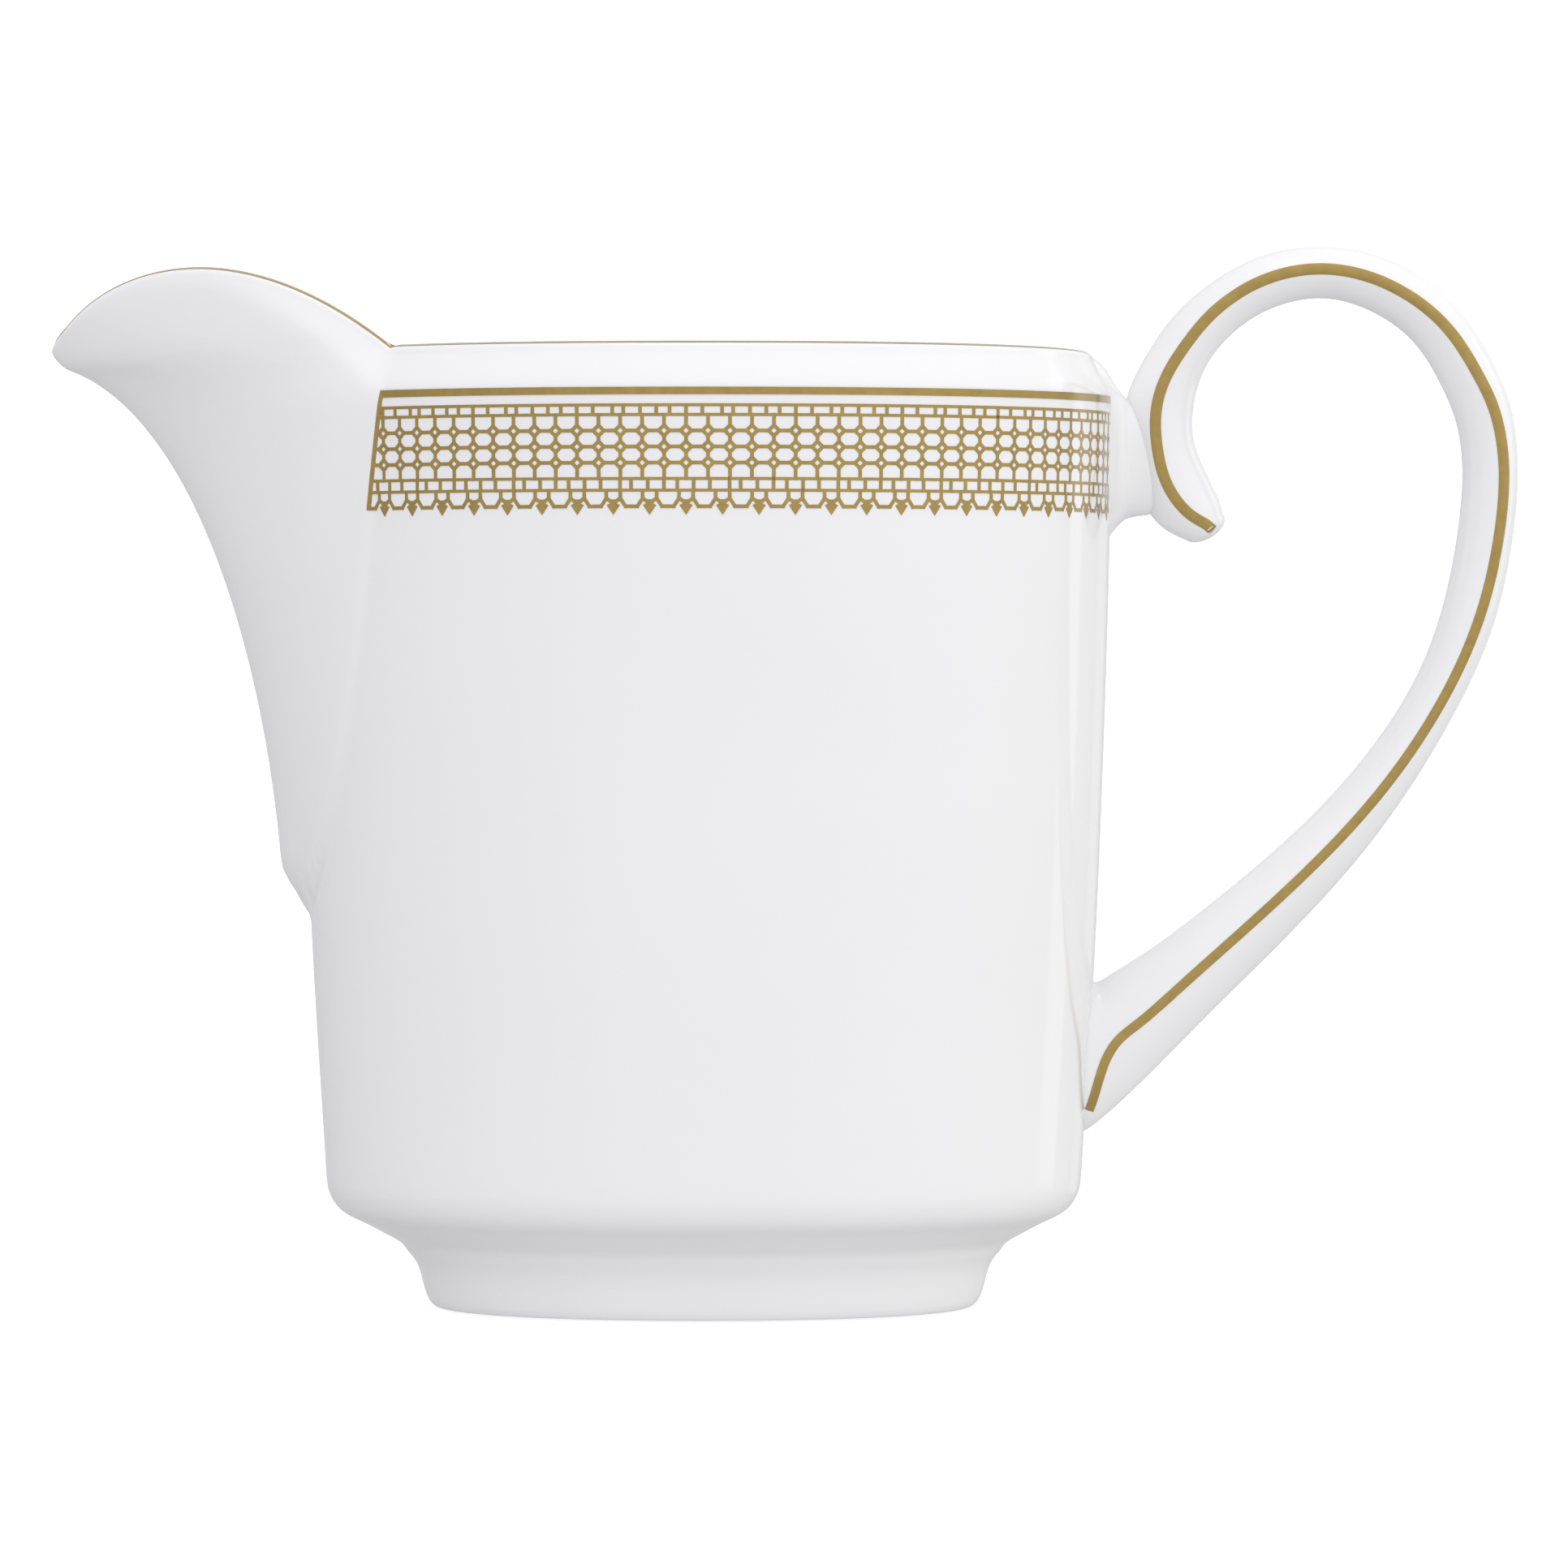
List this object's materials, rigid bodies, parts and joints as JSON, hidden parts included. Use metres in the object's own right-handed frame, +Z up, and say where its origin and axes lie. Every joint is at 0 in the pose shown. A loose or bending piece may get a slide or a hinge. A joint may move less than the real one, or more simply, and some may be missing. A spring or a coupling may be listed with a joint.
{
  "type": "cream jug",
  "caption": "Oval porcelain cream jug for pouring at table, with a pinched spout, a scrolled loop handle, gilt edges and a gold lace band under the neck.",
  "frame": {"origin": "middle of the whole length and width, on the table that the foot ring stands on", "axes": "+X from the spout towards the handle, +Y from the near flank to the far flank, +Z up"},
  "size_m": [0.1419, 0.062, 0.1024],
  "materials": {
    "porcelain": "clear glossy glaze over white bone china",
    "gold": "burnished gold, fired on over the glaze"
  },
  "bodies": {
    "root": {"pot": "porcelain", "spout": "porcelain", "foot_ring": "porcelain", "handle": "porcelain", "upper_handle_joint": "porcelain", "lower_handle_joint": "porcelain", "rim_gilding": "gold", "lip_gilding": "gold", "lace_band_near": "gold", "lace_band_far": "gold", "handle_line_near": "gold", "handle_line_far": "gold"}
  },
  "joints": []
}
